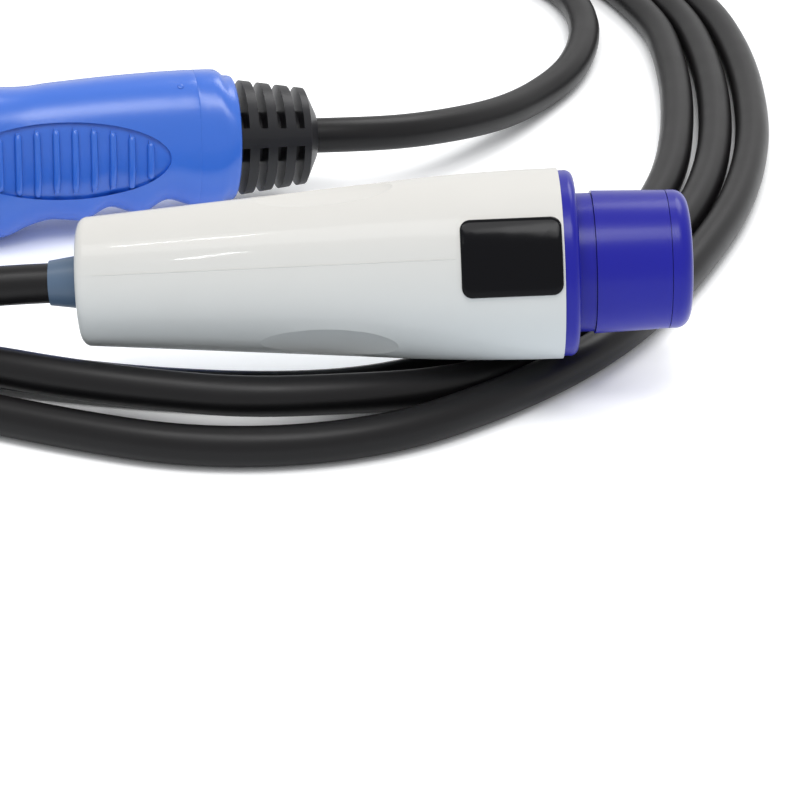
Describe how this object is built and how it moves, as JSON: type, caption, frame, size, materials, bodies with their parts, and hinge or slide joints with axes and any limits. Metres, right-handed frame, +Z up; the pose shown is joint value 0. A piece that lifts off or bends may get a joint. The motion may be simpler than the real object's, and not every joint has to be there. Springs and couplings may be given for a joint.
{
  "type": "ev charging cable",
  "caption": "Charging cable for an electric car: a capped station plug, a coiled heavy cable and a hand-held connector with a thumb latch, lying on a table.",
  "frame": {"origin": "middle of the bounding box of the plug and connector, on the table; the flexible cable is left out of it", "axes": "+X to the right of the picture, along the plug towards its nose; +Y away from the viewer; +Z up"},
  "size_m": [0.5797, 0.6583, 0.0918],
  "materials": {
    "warm_white_shell": "satin",
    "dark_blue_shell": "satin",
    "light_blue_shell": "satin",
    "black_plastic": "matte",
    "black_gloss": "glossy",
    "grey_gland": "satin",
    "black_rubber": "matte",
    "cable_sheath": "satin",
    "plated_contact": "polished",
    "steel_screw": "satin",
    "wire_brown": "satin",
    "wire_blue": "satin",
    "wire_green": "satin",
    "wire_white": "satin",
    "resistor_beige": "satin"
  },
  "bodies": {
    "body": {"plug_shell_upper": "warm_white_shell", "plug_shell_lower": "warm_white_shell", "plug_shell_screws": "steel_screw", "plug_front_shroud": "dark_blue_shell", "plug_contact_carrier": "black_plastic", "plug_carrier_seal": "black_rubber", "plug_pin_line": "plated_contact", "plug_pin_neutral": "plated_contact", "plug_pin_earth": "plated_contact", "plug_pin_pilot": "plated_contact", "plug_pin_proximity": "plated_contact", "plug_gland": "grey_gland", "plug_clamp_saddle": "black_plastic", "plug_clamp_bar": "black_plastic", "plug_clamp_screws": "steel_screw", "plug_cable_tail": "cable_sheath", "plug_label": "black_gloss", "plug_wire_line": "wire_brown", "plug_wire_neutral": "wire_blue", "plug_wire_earth": "wire_green", "plug_wire_pilot": "wire_white", "plug_coding_resistor": "resistor_beige", "handle_shell_left": "light_blue_shell", "handle_shell_right": "light_blue_shell", "handle_shell_screws": "steel_screw", "handle_boot": "black_rubber", "handle_clamp_saddle": "black_plastic", "handle_clamp_bar": "black_plastic", "handle_clamp_screws": "steel_screw", "handle_cable_tail": "cable_sheath", "connector_nose": "black_plastic", "connector_contact_block": "black_plastic", "connector_socket_line": "plated_contact", "connector_socket_neutral": "plated_contact", "connector_socket_earth": "plated_contact", "connector_socket_pilot": "plated_contact", "connector_socket_proximity": "plated_contact", "connector_front_seal": "black_rubber", "latch_pin": "steel_screw", "latch_spring": "steel_screw", "latch_switch": "black_plastic", "handle_wire_line": "wire_brown", "handle_wire_neutral": "wire_blue", "handle_wire_earth": "wire_green", "handle_wire_pilot": "wire_white", "handle_wire_proximity": "wire_white", "cable_plug_lead": "cable_sheath", "cable_coil": "cable_sheath", "cable_handle_lead": "cable_sheath"},
    "cap": {"cap_sleeve": "dark_blue_shell", "cap_end": "dark_blue_shell", "cap_seal": "black_rubber"},
    "latch": {"latch_lever": "black_plastic"},
    "plunger": {"switch_plunger": "wire_white"}
  },
  "joints": [
    {"name": "cap_slide", "type": "slide", "parent": "body", "child": "cap", "axis": [0.9992, 0.0209, 0.0332], "range_m": [0, 0.06]},
    {"name": "latch_hinge", "type": "hinge", "parent": "body", "child": "latch", "pos_m": [-0.1436, 0.06139, 0.06389], "axis": [-0.2353, 0.8972, -0.3736], "range_deg": [0, 7], "stiffness_Nm_per_rad": 1.5, "springref_deg": -2.86, "deforming": ["latch_spring"]},
    {"name": "plunger_slide", "type": "slide", "parent": "body", "child": "plunger", "axis": [0.269, -0.3093, -0.9121], "range_m": [0, 0.0028]}
  ],
  "couplings": [
    {"joint": "plunger_slide", "follows": "latch_hinge", "m_per_rad": 0.022}
  ]
}
